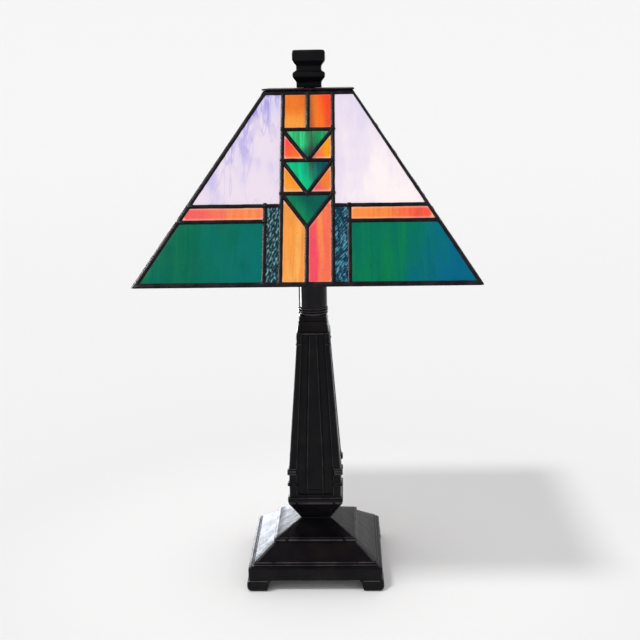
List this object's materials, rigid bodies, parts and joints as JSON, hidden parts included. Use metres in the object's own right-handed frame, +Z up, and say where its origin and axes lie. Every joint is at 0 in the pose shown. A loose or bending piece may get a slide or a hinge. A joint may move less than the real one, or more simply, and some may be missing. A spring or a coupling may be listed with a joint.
{
  "type": "stained glass table lamp",
  "caption": "Table lamp with a square leaded-glass pyramid shade and finial, on a tapered square column and a stepped base with corner feet.",
  "frame": {"origin": "on the table, at the middle of the base, which is the bottom centre of the lamp's box", "axes": "+Z up the centre pipe, the front of the shade faces -Y, the switch key of the lampholder points to +X"},
  "size_m": [0.254, 0.254, 0.4407],
  "materials": {
    "black_cast": "satin to gloss black enamel on cast metal",
    "leading": "dark patina solder and came, slightly glossy",
    "lavender_glass": "opalescent white and lavender, wispy vertical streaks",
    "coral_bar": "opalescent coral to orange",
    "green_glass": "deep green to teal-blue, streaky",
    "ripple_glass": "dark teal rippled glass with pale highlights",
    "centre_glass": "orange, amber, coral and emerald pieces, streaky",
    "steel": "zinc plated",
    "brass": "plain brass",
    "nickel": "nickel plated lamp cap",
    "black_plastic": "black phenolic",
    "iron": "as cast",
    "felt": "green felt on a stiff board",
    "opal_glass": "opal lamp glass"
  },
  "bodies": {
    "stand": {"base_casting": "black_cast", "base_weight": "iron", "base_cover": "felt", "base_nut": "steel", "cord_inlet_bushing": "black_plastic", "column_casting": "black_cast", "stem_collar": "black_cast", "stem_tube": "black_cast", "centre_pipe": "steel", "socket_bracket": "steel", "bracket_nut": "steel", "socket_body": "black_plastic", "screw_shell": "brass", "socket_contact": "brass", "shade_seat_nut": "steel"},
    "shade": {"front_leading": "leading", "front_centre_glass": "centre_glass", "front_lavender_glass_left": "lavender_glass", "front_lavender_glass_right": "lavender_glass", "front_coral_bar_left": "coral_bar", "front_coral_bar_right": "coral_bar", "front_green_glass_left": "green_glass", "front_green_glass_right": "green_glass", "front_ripple_glass_left": "ripple_glass", "front_ripple_glass_right": "ripple_glass", "right_leading": "leading", "right_centre_glass": "centre_glass", "right_lavender_glass_left": "lavender_glass", "right_lavender_glass_right": "lavender_glass", "right_coral_bar_left": "coral_bar", "right_coral_bar_right": "coral_bar", "right_green_glass_left": "green_glass", "right_green_glass_right": "green_glass", "right_ripple_glass_left": "ripple_glass", "right_ripple_glass_right": "ripple_glass", "back_leading": "leading", "back_centre_glass": "centre_glass", "back_lavender_glass_left": "lavender_glass", "back_lavender_glass_right": "lavender_glass", "back_coral_bar_left": "coral_bar", "back_coral_bar_right": "coral_bar", "back_green_glass_left": "green_glass", "back_green_glass_right": "green_glass", "back_ripple_glass_left": "ripple_glass", "back_ripple_glass_right": "ripple_glass", "left_leading": "leading", "left_centre_glass": "centre_glass", "left_lavender_glass_left": "lavender_glass", "left_lavender_glass_right": "lavender_glass", "left_coral_bar_left": "coral_bar", "left_coral_bar_right": "coral_bar", "left_green_glass_left": "green_glass", "left_green_glass_right": "green_glass", "left_ripple_glass_left": "ripple_glass", "left_ripple_glass_right": "ripple_glass", "shade_cap": "leading"},
    "finial": {"finial": "black_cast"},
    "bulb": {"bulb_cap": "nickel", "bulb_glass": "opal_glass"},
    "switch": {"switch_key": "black_plastic"}
  },
  "joints": [
    {"name": "shade_turn", "type": "hinge", "parent": "stand", "child": "shade", "pos_m": [0, 0, 0.2733], "axis": [0, 0, 1], "continuous": true},
    {"name": "finial_turn", "type": "hinge", "parent": "stand", "child": "finial", "pos_m": [0, 0, 0.4114], "axis": [0, 0, 1], "continuous": true},
    {"name": "bulb_turn", "type": "hinge", "parent": "stand", "child": "bulb", "pos_m": [0, 0.032, 0.2943], "axis": [0, 0, 1], "continuous": true},
    {"name": "switch_turn", "type": "hinge", "parent": "stand", "child": "switch", "pos_m": [0.0197, 0.032, 0.2871], "axis": [1, 0, 0], "continuous": true}
  ]
}
